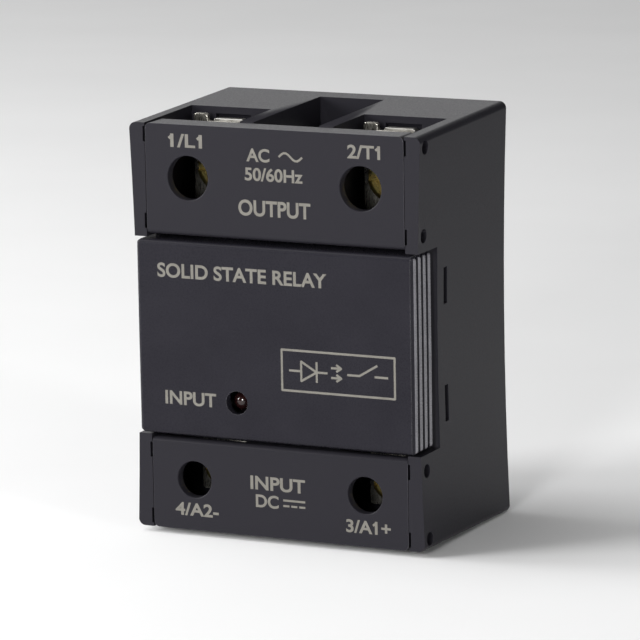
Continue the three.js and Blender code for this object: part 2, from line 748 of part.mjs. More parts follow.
// An input terminal: strip under the clamp, and a tail whose pin goes into the circuit board.
function makeInputTerminal(end) {
  const half = end.stripWidth / 2;
  const thick = end.stripThickness;
  const inner = end.pocketInset + GAP - end.screwAt;
  const tailEnd = along(end, end.screwAt) - BOARD_LOW - TAIL_LAP;
  const hole = rod("Y", end.thread / 2 + GAP, -OVERCUT, thick + OVERCUT);
  const strip = block([-half, half], [0, thick], [inner, end.clampOuter]);
  const halfTail = TAIL_WIDTH / 2;
  const tail = block([-halfTail, halfTail], [0, thick], [tailEnd, inner + OVERCUT]);
  const pinEnd = BOARD_BACK + PIN_PAST_BOARD - end.stripFront;
  const pin = block([-PIN / 2, PIN / 2], [0, pinEnd], [tailEnd + PIN, tailEnd + 2 * PIN]);
  return joined(cut(strip, hole), tail, pin);
}

// ---------------------------------------------------------------- circuit

const boardHoles = []; // centre of each pin that passes through the board

// A pin from a component through the board, square in section.
function boardPin(x, z, from, size = PIN) {
  boardHoles.push({ x, z, size });
  return block(
    [x - size / 2, x + size / 2],
    [from, BOARD_BACK + PIN_PAST_BOARD],
    [z - size / 2, z + size / 2],
  );
}

function makeBoard() {
  const holes = boardHoles.map(({ x, z, size }) => {
    const reach = size / 2 + PIN_CLEARANCE;
    return block([x - reach, x + reach], [0, DEPTH], [z - reach, z + reach]);
  });
  const half = CAVITY_X - BOARD_CLEARANCE;
  const corners = Array(4).fill(BOARD.round);
  const shape = roundedRectangle([-half, half], [BOARD_LOW, BOARD_HIGH], corners);
  return cut(prism(shape, "Y", BOARD.depth, BOARD_BACK, 3), ...holes);
}

const SEATED = BOARD.depth - GAP; // underside of a component that sits on the board

function placeOf(name) {
  const { across, up, down } = PLACES[name];
  return [across, down ? OPENING_HIGH - down : BOARD_LOW + up];
}

function makeOptocoupler(x, z) {
  const { width, length, height, pinDrop, pinPitch, rowPitch } = OPTOCOUPLER;
  const spanAcross = [x - width / 2, x + width / 2];
  const body = roundedRectangle(spanAcross, [z - length / 2, z + length / 2], Array(4).fill(GAP));
  const top = SEATED - height;
  const pinTop = top + pinDrop;
  const pins = [-1, 1].flatMap((side) =>
    [-pinPitch, 0, pinPitch].map((row) => {
      const shoulder = block(
        spanX(side, width / 2 - SUNK, (rowPitch + PIN) / 2).map((value) => x + value),
        [pinTop, pinTop + PIN],
        [z + row - PIN / 2, z + row + PIN / 2],
      );
      return joined(shoulder, boardPin(x + (side * rowPitch) / 2, z + row, pinTop));
    }),
  );
  const { radius, depth, inset } = PIN_ONE_MARK;
  const markAt = [x - width / 2 + inset, z + length / 2 - inset];
  const mark = rod("Y", radius, top - OVERCUT, top + depth, markAt, 12);
  return joined(cut(prism(body, "Y", top, SEATED, 2), mark), ...pins);
}

function makeFilmCapacitor(x, z) {
  const { width, thickness, height, pinPitch } = CAPACITOR;
  const body = roundedRectangle(
    [x - width / 2, x + width / 2],
    [z - thickness / 2, z + thickness / 2],
    Array(4).fill(STAMPED_ROUND),
  );
  const pins = [-1, 1].map((side) => boardPin(x + (side * pinPitch) / 2, z, SEATED - SUNK));
  return joined(prism(body, "Y", SEATED - height, SEATED, 3), ...pins);
}

// A part with a round body lying along X and a lead bent down to the board at each end.
function makeAxialPart(x, z, { radius, length, pinPitch }) {
  const y = SEATED - radius;
  const body = rod("X", radius, x - length / 2, x + length / 2, [y, z], 14);
  const wire = PIN / 2;
  const lead = block(
    [x - pinPitch / 2 - wire, x + pinPitch / 2 + wire],
    [y - wire, y + wire],
    [z - wire, z + wire],
  );
  const pins = [-1, 1].map((side) => boardPin(x + (side * pinPitch) / 2, z, y - wire));
  return joined(body, lead, ...pins);
}

function makeVaristor(x, z) {
  const { radius, thickness, pinPitch } = VARISTOR;
  const disc = rod("Z", radius, z - thickness / 2, z + thickness / 2, [x, SEATED - radius], 24);
  const pins = [-1, 1].map((side) => boardPin(x + (side * pinPitch) / 2, z, SEATED - 2));
  return joined(disc, ...pins);
}

// A small transistor: a round body with one flat side, on three legs in a row.
function makeTransistor(x, z) {
  const { radius, flat, height, standOff, pinPitch, pin } = TRANSISTOR;
  const low = SEATED - standOff;
  const beyond = radius + OVERCUT;
  const body = cut(
    rod("Y", radius, low - height, low, [x, z]),
    block([x - beyond, x + beyond], [0, DEPTH], [z - beyond, z - flat]),
  );
  const pins = [-pinPitch, 0, pinPitch].map((step) => boardPin(x + step, z, low - SUNK, pin));
  return joined(body, ...pins);
}

function makeLed() {
  const z = CAP_LOW + LED.fromCapEdge;
  const radius = LED.lens / 2;
  const steps = 6;
  const dome = Array.from({ length: steps + 1 }, (_, i) => {
    const angle = (i / steps) * (Math.PI / 2);
    return [radius * Math.sin(angle), LED.behindFace + radius * (1 - Math.cos(angle))];
  });
  const base = LED.behindFace + LED.length;
  const profile = [
    ...dome,
    [radius, base - LED.flangeHeight],
    [LED.flange / 2, base - LED.flangeHeight],
    [LED.flange / 2, base],
    [0, base],
  ];
  const lens = turned(profile).translate([LED.x, 0, z]);
  const leads = [-1, 1].map((side) =>
    boardPin(LED.x + (side * LED.pinPitch) / 2, z, base - SUNK, LED.pin),
  );
  return joined(lens, ...leads);
}

function makeSubstrate() {
  const half = SUBSTRATE.width / 2;
  return block(
    [-half, half],
    [SUBSTRATE_FRONT, SUBSTRATE_BACK],
    [SUBSTRATE_LOW, SUBSTRATE_HIGH],
  );
}

function makeThyristor(side) {
  const half = DIE.size / 2;
  const x = side * DIE.x;
  return block([x - half, x + half], [DIE_FRONT, DIE_BACK], [DIE_Z - half, DIE_Z + half]);
}

// A copper strap from a thyristor's top to the foot of its output terminal.
function makeStrap(side) {
  const x = side * STRAP_X;
  return block(
    [x - STRAP.width / 2, x + STRAP.width / 2],
    [STRAP_FRONT, STRAP_BACK],
    [DIE_Z - DIE.size / 2 + STRAP.edge, FOOT_LOW + STRAP_LAP],
  );
}

function makeGatePin(side) {
  const x = side * GATE_X;
  const half = GATE.size / 2;
  boardHoles.push({ x, z: DIE_Z, size: GATE.size });
  return block([x - half, x + half], [SEATED, DIE_FRONT - GAP], [DIE_Z - half, DIE_Z + half]);
}

// The cast resin between the board and the straps, open around the gate pins.
function makePotting() {
  const half = CAVITY_X - GAP;
  const back = STRAP_FRONT - 2 * GAP;
  const front = BOARD_BACK + PIN_PAST_BOARD + POTTING_AIR;
  const reach = GATE.size / 2 + PIN_CLEARANCE;
  const holes = [-1, 1].map((side) => {
    const x = side * GATE_X;
    return block([x - reach, x + reach], [0, DEPTH], [DIE_Z - reach, DIE_Z + reach]);
  });
  return cut(block([-half, half], [front, back], [CORE_LOW + GAP, CORE_HIGH - GAP]), ...holes);
}

// ---------------------------------------------------------------- materials

function material(color, roughness, metalness = 0) {
  return new THREE.MeshStandardMaterial({ color, roughness, metalness });
}

const caseResin = material(0x37363a, 0.55);
const capResin = material(0x38373c, 0.5);
const nickel = material(0xc9cac8, 0.3, 1);
const tin = material(0xd6d3c8, 0.28, 1);
const screwPlate = material(0xb9aa7c, 0.3, 1);
const copper = material(0xb87350, 0.35, 1);
const alumina = material(0xe8e6df, 0.6);
const silicon = material(0x3b3f46, 0.2, 0.6);
const laminate = material(0x2f6b3c, 0.5);
const blackEpoxy = material(0x1d1d1f, 0.6);
const capacitorShell = material(0xd8b33c, 0.4);
const resistorCoat = material(0xc8b48a, 0.5);
const varistorCoat = material(0x2c5f9e, 0.4);
const ledLens = material(0x7a1512, 0.15);
const resin = material(0x4a4a4c, 0.4);

// ---------------------------------------------------------------- assembly

function mesh(name, body, look) {
  const made = body.getMesh();
  const geometry = new THREE.BufferGeometry()
    .setAttribute("position", new THREE.BufferAttribute(made.vertProperties, 3))
    .setIndex(new THREE.BufferAttribute(made.triVerts, 1));
  const piece = new THREE.Mesh(geometry, look);
  piece.name = name;
  return piece;
}

const relay = new THREE.Group();

// Inside this group Y is the depth behind the front rims; the box of the whole relay is centred.
const assembly = new THREE.Group();
assembly.position.y = -(DEPTH - CAP_PROUD) / 2;
relay.add(assembly);

assembly.add(
  mesh("case", makeCase(), caseResin),
  mesh("heat_sink_plate", makePlate(), nickel),
  mesh("front_cap", makeCap(), capResin),
);

for (const end of [OUTPUT, INPUT]) {
  const cover = mesh(`${end.name}_cover`, makeCover(end), caseResin);
  const hinge = new THREE.Group();
  hinge.position.set(0, PIVOT_DEPTH, along(end, PIVOT_INSET));
  if (end === INPUT) cover.geometry = turnedOver(cover.geometry);
  hinge.add(cover);
  assembly.add(hinge);
}

// The same shape with its ends exchanged, and its faces still pointing out.
function turnedOver(geometry) {
  const turned = geometry.clone().applyMatrix4(new THREE.Matrix4().makeScale(1, 1, -1));
  const index = turned.getIndex();
  for (let i = 0; i < index.count; i += 3) {
    const second = index.getX(i + 1);
    index.setX(i + 1, index.getX(i + 2));
    index.setX(i + 2, second);
  }
  return turned;
}

for (const end of [OUTPUT, INPUT]) {
  for (const side of [-1, 1]) {
    const station = new THREE.Group();
    station.position.set(side * TERMINAL_X, 0, along(end, end.screwAt));
    const pieces = {
      terminal: [end === OUTPUT ? makeOutputTerminal(end) : makeInputTerminal(end), tin, "stripFront"],
      clamp: [makeClamp(end), nickel, "clampFront"],
      screw: [makeScrew(end), screwPlate, "headFront"],
      nut: [makeNut(end), nickel, "pocketDepth"],
    };
    for (const [kind, [body, look, depth]] of Object.entries(pieces)) {
      const piece = mesh(`${end.name}_${kind}_${end.numbers[side]}`, body, look);
      if (end === INPUT) piece.geometry = turnedOver(piece.geometry);
      piece.position.y = end[depth];
      station.add(piece);
    }
    assembly.add(station);
  }
}

for (const side of [-1, 1]) {
  const hand = side < 0 ? "left" : "right";
  assembly.add(
    mesh(`thyristor_${hand}`, makeThyristor(side), silicon),
    mesh(`link_strap_${hand}`, makeStrap(side), copper),
    mesh(`gate_pin_${hand}`, makeGatePin(side), tin),
  );
  const tailPinZ = BOARD_LOW + TAIL_LAP - 1.5 * PIN;
  boardHoles.push({ x: side * TERMINAL_X, z: tailPinZ, size: PIN });
}

assembly.add(
  mesh("ceramic_substrate", makeSubstrate(), alumina),
  mesh("potting_block", makePotting(), resin),
  mesh("optocoupler", makeOptocoupler(...placeOf("optocoupler")), blackEpoxy),
  mesh("snubber_capacitor", makeFilmCapacitor(...placeOf("snubber_capacitor")), capacitorShell),
  mesh("snubber_resistor", makeAxialPart(...placeOf("snubber_resistor"), SNUBBER_RESISTOR), resistorCoat),
  mesh("varistor", makeVaristor(...placeOf("varistor")), varistorCoat),
  mesh("current_limiter", makeTransistor(...placeOf("current_limiter")), blackEpoxy),
  mesh("input_resistor", makeAxialPart(...placeOf("input_resistor"), INPUT_RESISTOR), resistorCoat),
  mesh("input_diode", makeAxialPart(...placeOf("input_diode"), DIODE), blackEpoxy),
  mesh("status_led", makeLed(), ledLens),
);
assembly.add(mesh("circuit_board", makeBoard(), laminate));

export default relay;
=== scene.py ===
import math

import bpy
from bpy.props import FloatProperty, IntProperty, PointerProperty, StringProperty
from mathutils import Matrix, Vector


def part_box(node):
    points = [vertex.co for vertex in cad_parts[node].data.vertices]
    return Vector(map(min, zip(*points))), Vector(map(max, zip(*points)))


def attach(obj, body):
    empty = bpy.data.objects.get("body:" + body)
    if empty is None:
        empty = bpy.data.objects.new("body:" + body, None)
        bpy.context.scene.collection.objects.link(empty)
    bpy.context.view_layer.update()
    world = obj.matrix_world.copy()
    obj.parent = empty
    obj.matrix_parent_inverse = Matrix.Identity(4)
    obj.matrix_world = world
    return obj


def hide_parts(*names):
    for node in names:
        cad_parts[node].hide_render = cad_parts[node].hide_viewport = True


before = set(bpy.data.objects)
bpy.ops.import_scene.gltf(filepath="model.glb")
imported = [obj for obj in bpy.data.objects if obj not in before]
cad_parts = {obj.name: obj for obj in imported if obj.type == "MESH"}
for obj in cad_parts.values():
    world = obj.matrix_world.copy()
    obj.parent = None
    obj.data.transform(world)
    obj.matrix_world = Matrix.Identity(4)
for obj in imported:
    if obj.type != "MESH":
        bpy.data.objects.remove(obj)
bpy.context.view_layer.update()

bl_info = {
    "name": "Solid state relay",
    "version": (1, 0, 0),
    "blender": (4, 5, 0),
    "location": "View3D > Sidebar > Relay",
    "description": "Models the finished surfaces of a panel-mount solid state relay round its CAD parts",
    "category": "Add Mesh",
}


def mm(value):
    """Millimetres as metres."""
    return value / 1000


# The relay stands on its input end: X runs across it, Y from its front to its back, and Z up.
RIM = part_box("case")[0][1]  # front rims of the side walls
WALL_IN = mm(20.1)  # inner faces of the side walls beside the covers
CAP_FRONT = RIM - mm(0.77)
CAP_LOW, CAP_HIGH = mm(14.75), mm(42.75)
CAP_OUT = mm(21.05)  # outer faces of the cap's skirts
LIGHT = {"x": mm(-6), "z": mm(20.15), "radius": mm(1.7)}
SNAPS = (mm(20.35), mm(37.15))  # heights of the cap's snap legs
TERMINAL_X = mm(13.4)
COVERS = {  # inner and outer edge, screw height, driver hole radius, heights of detent and pivot pegs
    "output": {"inner": mm(43.45), "outer": mm(59.35), "screw": mm(51.75), "hole": mm(3.15),
               "peg": mm(57.75), "pivot": mm(45.35)},
    "input": {"inner": mm(14.05), "outer": mm(0.85), "screw": mm(8.25), "hole": mm(2.65),
              "peg": mm(2.45), "pivot": mm(12.15)},
}
SCREWS = {  # head radius and height, shank radius and length, depth of the head's underside from the rim
    "output": {"head": mm(3.5), "height": mm(2.4), "shank": mm(1.7), "length": mm(10), "seat": mm(11.6)},
    "input": {"head": mm(2.75), "height": mm(1.9), "shank": mm(1.2), "length": mm(8), "seat": mm(10.0)},
}
TERMINALS = {1: ("output", -1), 2: ("output", 1), 3: ("input", 1), 4: ("input", -1)}
OVER = mm(1)  # how far a cutting tool reaches past what it cuts

LEGENDS = (  # words, middle and size in millimetres, the face and the body they are printed on
    ("1/L1", (-13.5, 57.05), (5.0, 1.95), RIM, "output_cover"),
    ("2/T1", (14.0, 56.9), (5.0, 1.95), RIM, "output_cover"),
    ("AC", (-2.3, 55.6), (3.6, 1.9), RIM, "output_cover"),
    ("50/60Hz", (0.1, 52.9), (9.0, 1.9), RIM, "output_cover"),
    ("OUTPUT", (0.1, 48.1), (11.2, 2.3), RIM, "output_cover"),
    ("INPUT", (-0.2, 8.65), (8.6, 2.0), RIM, "input_cover"),
    ("DC", (-1.9, 6.05), (3.6, 1.9), RIM, "input_cover"),
    ("4/A2-", (-13.1, 3.85), (6.9, 1.9), RIM, "input_cover"),
    ("3/A1+", (13.85, 3.7), (6.9, 1.9), RIM, "input_cover"),
    ("SOLID STATE RELAY", (-4.9, 38.55), (26.5, 2.1), CAP_FRONT, "housing"),
    ("INPUT", (-13.3, 20.2), (8.1, 2.0), CAP_FRONT, "housing"),
)
LAMPS = (  # name, place, what it is aimed at, size, and power in watts
    ("overhead", (-0.35, -0.12, 0.75), (0, 0, 0.03), (0.6, 0.6), 3),
    ("front", (0.1, -0.75, 0.22), (0, 0, 0.03), (0.15, 0.15), 3),
    ("front_left", (-0.6, -0.5, 0.3), (0, 0, 0.03), (0.3, 0.3), 5),
    ("left", (-0.75, -0.1, 0.25), (0, 0, 0.03), (0.3, 0.4), 4),
    ("right_strip", (0.62, -0.29, 0.12), (0, 0, 0.03), (0.06, 0.4), 1.5),
    ("back_left", (-0.48, 0.95, 0.3), (0, 0, 0.05), (0.9, 0.4), 1.1),
)


# ------------------------------------------------------------------ sizes and colours


class RelayCase(bpy.types.PropertyGroup):
    edge: FloatProperty(name="Edge radius", description="Rounding of the moulded edges",
                        default=mm(0.2), subtype="DISTANCE")
    colour: StringProperty(name="Colour", description="Resin colour, sRGB hex", default="#252429")
    grain: FloatProperty(name="Grain", description="Size of the moulded grain",
                         default=mm(0.25), subtype="DISTANCE")


class RelayCap(bpy.types.PropertyGroup):
    fillet: FloatProperty(name="End fillet", description="Rounding along the cap's top and bottom edges",
                          default=mm(0.7), subtype="DISTANCE")
    rib_radius: FloatProperty(name="Rib radius", description="Radius of the grip ribs",
                              default=mm(0.6), subtype="DISTANCE")
    rib_pitch: FloatProperty(name="Rib pitch", description="Spacing of the grip ribs",
                             default=mm(1.6), subtype="DISTANCE")
    rib_count: IntProperty(name="Ribs", description="Grip ribs on each side", default=4, min=1)
    colour: StringProperty(name="Colour", description="Resin colour, sRGB hex", default="#1f1e24")


class RelayCovers(bpy.types.PropertyGroup):
    side_gap: FloatProperty(name="Side gap", description="Gap between a cover and the side walls",
                            default=mm(0.1), subtype="DISTANCE")
    plate: FloatProperty(name="Plate", description="Thickness of a cover's plate",
                         default=mm(1.5), subtype="DISTANCE")
    side: FloatProperty(name="Side rib", description="Thickness of a cover's side ribs",
                        default=mm(1.2), subtype="DISTANCE")
    corner: FloatProperty(name="Corner radius", description="Rounding of the two outer corners",
                          default=mm(0.8), subtype="DISTANCE")
    edge: FloatProperty(name="Edge radius", description="Rounding of the front edges",
                        default=mm(0.25), subtype="DISTANCE")
    hinge_edge: FloatProperty(name="Hinge edge radius", description="Rounding of the hinged edge",
                              default=mm(0.7), subtype="DISTANCE")


class RelayMetal(bpy.types.PropertyGroup):
    thread_pitch: FloatProperty(name="Thread pitch", description="Spacing of the screw threads",
                                default=mm(0.7), subtype="DISTANCE")
    edge: FloatProperty(name="Stamped edge", description="Rounding of stamped and cut metal edges",
                        default=mm(0.12), subtype="DISTANCE")


class RelayPrint(bpy.types.PropertyGroup):
    colour: StringProperty(name="Ink", description="Printing ink, sRGB hex", default="#716e67")
    thickness: FloatProperty(name="Thickness", description="Thickness of the printed film",
                             default=mm(0.025), subtype="DISTANCE")


class RelayStage(bpy.types.PropertyGroup):
    floor: FloatProperty(name="Floor", description="Width of the floor", default=6, subtype="DISTANCE")
    surround: FloatProperty(name="Surroundings", description="Strength of the even white light all round",
                            default=0.09)


GROUPS = {
    "relay_case": RelayCase,
    "relay_cap": RelayCap,
    "relay_covers": RelayCovers,
    "relay_metal": RelayMetal,
    "relay_print": RelayPrint,
    "relay_stage": RelayStage,
}


# ------------------------------------------------------------------ modelling helpers


def deselect():
    """Leaves edit mode with nothing selected."""
    if bpy.context.object and bpy.context.object.mode != "OBJECT":
        bpy.ops.object.mode_set(mode="OBJECT")
    bpy.ops.object.select_all(action="DESELECT")


def pick(*objects):
    """Selects objects, the first of them active."""
    deselect()
    for obj in objects:
        obj.select_set(True)
    bpy.context.view_layer.objects.active = objects[0]
    return objects[0]


def placed(name):
    """Names the new object and puts its place into its mesh."""
    obj = bpy.context.object
    obj.name = obj.data.name = name
    bpy.ops.object.transform_apply(location=True, rotation=True, scale=True)
    return obj


def box(name, x, y, z):
    """A block between two places on each axis."""
    deselect()
    low, high = Vector((min(x), min(y), min(z))), Vector((max(x), max(y), max(z)))
    bpy.ops.mesh.primitive_cube_add(size=1, location=(low + high) / 2, scale=high - low)
    return placed(name)


def rod(name, radius, start, end, sides=48, tip=None):
    """A round bar, or a cone where its tip has its own radius, from one point to another."""
    deselect()
    start, end = Vector(start), Vector(end)
    along = end - start
    bpy.ops.mesh.primitive_cone_add(
        vertices=sides, radius1=radius, radius2=radius if tip is None else tip, depth=along.length,
        location=(start + end) / 2, rotation=along.to_track_quat("Z", "Y").to_euler())
    return placed(name)


def modify(obj, kind, **settings):
    """Adds a modifier, sets it and applies it."""
    pick(obj)
    bpy.ops.object.modifier_add(type=kind)
    modifier = obj.modifiers[-1]
    for name, value in settings.items():
        setattr(modifier, name, value)
    bpy.ops.object.modifier_apply(modifier=modifier.name)
    return obj


def merge(name, pieces):
    """Several pieces as one object, as they are."""
    pick(*pieces)
    if len(pieces) > 1:
        bpy.ops.object.join()
    pieces[0].name = pieces[0].data.name = name
    return pieces[0]


def combine(obj, tools, operation):
    """Joins tools to a piece, or cuts them from it, one after another."""
    for tool in tools:
        modify(obj, "BOOLEAN", object=tool, operation=operation, solver="EXACT")
        mesh = tool.data
        bpy.data.objects.remove(tool)
        bpy.data.meshes.remove(mesh)
    return obj


def copy_of(name, obj):
    """A copy at the origin with its own mesh, riding on nothing yet."""
    mesh = obj.data.copy()
    made = bpy.data.objects.new(name, mesh)
    bpy.context.scene.collection.objects.link(made)
    mesh.name = name
    mesh.transform(obj.matrix_world)
    return made


def copy_of_node(name, node):
    """A copy of a CAD node with its points merged and its flat faces whole again."""
    made = copy_of(name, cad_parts[node])
    edit(made)
    bpy.ops.mesh.select_all(action="SELECT")
    bpy.ops.mesh.remove_doubles(threshold=mm(0.001))
    bpy.ops.mesh.dissolve_limited(angle_limit=math.radians(0.1))
    bpy.ops.object.mode_set(mode="OBJECT")
    return made


def edit(obj):
    """Edit mode on one object, with nothing in it selected."""
    pick(obj)
    bpy.ops.object.mode_set(mode="EDIT")
    bpy.ops.mesh.select_all(action="DESELECT")


def select(obj, kind, test):
    """Edit mode, with those faces or edges selected whose middle and corners pass a test."""
    edit(obj)
    bpy.ops.mesh.select_mode(type={"edges": "EDGE", "polygons": "FACE"}[kind])
    bpy.ops.object.mode_set(mode="OBJECT")
    points = obj.data.vertices
    count = 0
    for item in getattr(obj.data, kind):
        corners = [points[i].co for i in item.vertices]
        item.select = bool(test(sum(corners, Vector()) / len(corners), corners))
        count += item.select
    if not count:
        raise RuntimeError(f"{obj.name}: nothing selected to shape")
    bpy.ops.object.mode_set(mode="EDIT")


def near(a, b, tolerance=mm(0.02)):
    """Whether two places are the same but for rounding."""
    return abs(a - b) < tolerance


def bevel(obj, width, segments, test, finish_index=-1):
    """Rounds the edges that pass a test, in one of the piece's finishes."""
    select(obj, "edges", test)
    bpy.ops.mesh.bevel(offset=width, segments=segments, profile=0.5, affect="EDGES", clamp_overlap=True,
                       material=finish_index)
    bpy.ops.object.mode_set(mode="OBJECT")
    return obj


def round_edges(obj, width, segments=2, angle=40):
    """Rounds every sharp edge that is left, in the piece's second finish if it has one; on the mouldings
    that finish is a painted highlight.
    """
    return modify(obj, "BEVEL", width=width, segments=segments, limit_method="ANGLE",
                  angle_limit=math.radians(angle), use_clamp_overlap=True,
                  material=1 if len(obj.data.materials) > 1 else -1)


def dress(obj, *finishes):
    """Gives a piece its finishes, all of it starting in the first."""
    obj.data.materials.clear()
    for name in finishes:
        obj.data.materials.append(finish_of(name))
    return obj


def finish(obj, body, look=None, nodes=(), smooth=32):
    """Smooths a piece, gives it its finish unless it is dressed already, and seats it on its body."""
    edit(obj)
    bpy.ops.mesh.select_all(action="SELECT")
    bpy.ops.mesh.remove_doubles(threshold=mm(0.0005))
    bpy.ops.mesh.normals_make_consistent(inside=False)
    bpy.ops.object.mode_set(mode="OBJECT")
    pick(obj)
    bpy.ops.object.shade_smooth_by_angle(angle=math.radians(smooth))
    modify(obj, "WEIGHTED_NORMAL", keep_sharp=True)
    if look:
        dress(obj, look)
    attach(obj, body)
    if nodes:
        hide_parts(*nodes)
    return obj


def repaint(node, look):
    """Gives a CAD node that keeps its own shape its finish."""
    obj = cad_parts[node]
    for i in range(len(obj.material_slots)):
        obj.material_slots[i].material = finish_of(look)


# ------------------------------------------------------------------ material helpers


def linear(hex_colour):
    """An sRGB hex colour as linear RGBA."""
    parts = [int(hex_colour[i:i + 2], 16) / 255 for i in (1, 3, 5)]
    return [p / 12.92 if p <= 0.04045 else ((p + 0.055) / 1.055) ** 2.4 for p in parts] + [1]


def add_node(tree, kind, inputs=None, **settings):
    """Adds a node with its settings, its inputs set to values or linked to other nodes' outputs."""
    node = tree.nodes.new(kind)
    for name, value in settings.items():
        setattr(node, name, value)
    for socket, value in (inputs or {}).items():
        if isinstance(value, bpy.types.NodeSocket):
            tree.links.new(value, node.inputs[socket])
        else:
            node.inputs[socket].default_value = value
    return node


def surface(name, colours, roughness, grain, depth, stretch=(1, 1, 1), cloud=6.0, **constants):
    """A surface whose colour drifts between two shades in soft clouds, and whose grain sets its
    roughness and bump. Grain, cloud and depth are real sizes in millimetres, and the constants go
    straight on the shader."""
    material = bpy.data.materials.new(name)
    material.use_nodes = True
    tree = material.node_tree
    tree.nodes.clear()
    place = add_node(tree, "ShaderNodeTexCoord").outputs["Object"]
    along = [1 / (mm(grain) * share) for share in stretch]
    fine_place = add_node(tree, "ShaderNodeMapping", {"Vector": place, "Scale": along}).outputs[0]
    fine = add_node(tree, "ShaderNodeTexNoise",
                    {"Vector": fine_place, "Scale": 1.0, "Detail": 3.0}).outputs["Fac"]
    soft = add_node(tree, "ShaderNodeTexNoise",
                    {"Vector": place, "Scale": 1 / mm(cloud), "Detail": 2.0}).outputs["Fac"]
    middle = {"From Min": 0.3, "From Max": 0.7}  # where nearly all of a noise's values lie
    drift = add_node(tree, "ShaderNodeMapRange", {"Value": soft, **middle}).outputs[0]
    colour = add_node(tree, "ShaderNodeMix", {0: drift, 6: linear(colours[0]), 7: linear(colours[1])},
                      data_type="RGBA")
    sheen = add_node(tree, "ShaderNodeMapRange",
                     {"Value": fine, **middle, "To Min": roughness[0], "To Max": roughness[1]}).outputs[0]
    relief = add_node(tree, "ShaderNodeBump",
                      {"Height": fine, "Distance": mm(depth), "Strength": 1.0}).outputs[0]
    inputs = {"Base Color": colour.outputs[2], "Roughness": sheen, "Normal": relief}
    inputs.update(constants)
    shader = add_node(tree, "ShaderNodeBsdfPrincipled", inputs)
    add_node(tree, "ShaderNodeOutputMaterial", {"Surface": shader.outputs[0]})
    return material


MADE = {}


def finish_of(name):
    """A finish by its name, made once."""
    if name not in MADE:
        MADE[name] = FINISHES[name]()
    return MADE[name]


# Glass-filled polyester moulding: near black, with a faint spark-eroded grain that dulls its gloss.
def moulded_polyester():
    sizes = bpy.context.scene.relay_case
    return surface("moulded_polyester", (sizes.colour, "#252429"), (0.3, 0.4), sizes.grain * 1000,
                   0.006, **{"IOR": 1.52, "Specular IOR Level": 0.1})


# Rounded edges of the same moulding, painted greyer: a painted highlight line that stands in for the light
# the edges catch.
def polyester_edge_highlight():
    return surface("rubbed_polyester_edge", ("#48474c", "#55545a"), (0.25, 0.38), 0.2, 0.003,
                   cloud=2.5, IOR=1.52)


# The cap's nylon is a shade darker and smoother than the case.
def moulded_nylon():
    sizes = bpy.context.scene.relay_cap
    return surface("moulded_nylon", (sizes.colour, "#222127"), (0.24, 0.33), 0.22, 0.005,
                   **{"IOR": 1.53, "Specular IOR Level": 0.1})


# Grip ribs and rounded edges of the cap, painted grey: a painted highlight on the ribs' outward crowns and
# along the edges, standing in for the light they catch.
def nylon_rib_highlight():
    return surface("rubbed_nylon_ribs", ("#6c6b70", "#7a797e"), (0.22, 0.34), 0.2, 0.003,
                   cloud=3.0, IOR=1.53)


# Screen-printed epoxy ink: matt, khaki grey, slightly uneven where the screen left less of it.
def printed_ink():
    sizes = bpy.context.scene.relay_print
    return surface("screen_printed_ink", (sizes.colour, "#69665f"), (0.6, 0.75), 0.15, 0.002,
                   cloud=1.5, IOR=1.5)


# Bright nickel over stamped brass: a warm white metal with faint rolling lines.
def nickel_plate():
    return surface("bright_nickel_plate", ("#c9c6bd", "#bdb9ae"), (0.2, 0.34), 0.12, 0.002, (1, 1, 8),
                   cloud=3.0, Metallic=1.0)


# Tinned copper strip: softer and greyer than the nickel, with flow marks from the tin bath.
def tinned_copper():
    return surface("tinned_copper_strip", ("#cfcdc8", "#b9b7b2"), (0.28, 0.46), 0.3, 0.004, (1, 1, 4),
                   cloud=2.0, Metallic=1.0)


# Yellow-passivated zinc on steel: gold with patches that lean to green and rose.
def yellow_zinc():
    return surface("yellow_passivated_zinc", ("#c8a85a", "#b9b070"), (0.25, 0.42), 0.1, 0.002, cloud=1.2,
                   Metallic=1.0)


# Rolled aluminium base, brushed along its length, so that it shows fine long scratches.
def brushed_aluminium():
    return surface("brushed_aluminium_plate", ("#c4c6c8", "#b4b6b9"), (0.3, 0.48), 0.08, 0.003, (1, 1, 40),
                   cloud=9.0, Metallic=1.0)


# Annealed copper strap, dulled unevenly by handling.
def bare_copper():
    return surface("annealed_copper_strap", ("#b87a55", "#9c6244"), (0.3, 0.5), 0.15, 0.003, cloud=1.5,
                   Metallic=1.0)


# Fired alumina: off-white, matt, with a fine ceramic grain.
def fired_alumina():
    return surface("fired_alumina", ("#e9e6dd", "#e0dccf"), (0.5, 0.65), 0.08, 0.003, cloud=4.0, IOR=1.76)


# Polished silicon die under its metal: dark blue-grey and glossy.
def silicon_die():
    return surface("silicon_die", ("#4a505c", "#3e444f"), (0.12, 0.2), 0.05, 0.0005,
                   cloud=2.0, Metallic=0.6)


# Glass-epoxy laminate under green solder mask, with the glass weave just showing.
def masked_laminate():
    return surface("solder_masked_laminate", ("#1f5a38", "#24663f"), (0.25, 0.36), 0.35, 0.006,
                   cloud=2.5, IOR=1.55)


# Transfer-moulded black epoxy of a component body: matt with a sandy grain.
def moulded_epoxy():
    return surface("transfer_moulded_epoxy", ("#1c1c1e", "#232326"), (0.5, 0.66), 0.12, 0.006,
                   cloud=2.0, IOR=1.55)


# Film capacitor box: glossy yellow plastic, resin filled.
def capacitor_box():
    return surface("film_capacitor_box", ("#c8a63a", "#bd9a30"), (0.22, 0.34), 0.3, 0.003,
                   cloud=3.0, IOR=1.5)


# Dipped epoxy coat: thick and glossy, with a slight orange peel.
def resistor_coat():
    return surface("dipped_resistor_coat", ("#c9ad80", "#bd9f70"), (0.2, 0.34), 0.5, 0.01,
                   cloud=1.5, IOR=1.5)


# Varistor disc dipped in blue epoxy, with orange peel.
def varistor_coat():
    return surface("dipped_varistor_coat", ("#2f5d8f", "#284f7c"), (0.22, 0.36), 0.5, 0.012,
                   cloud=2.0, IOR=1.5)
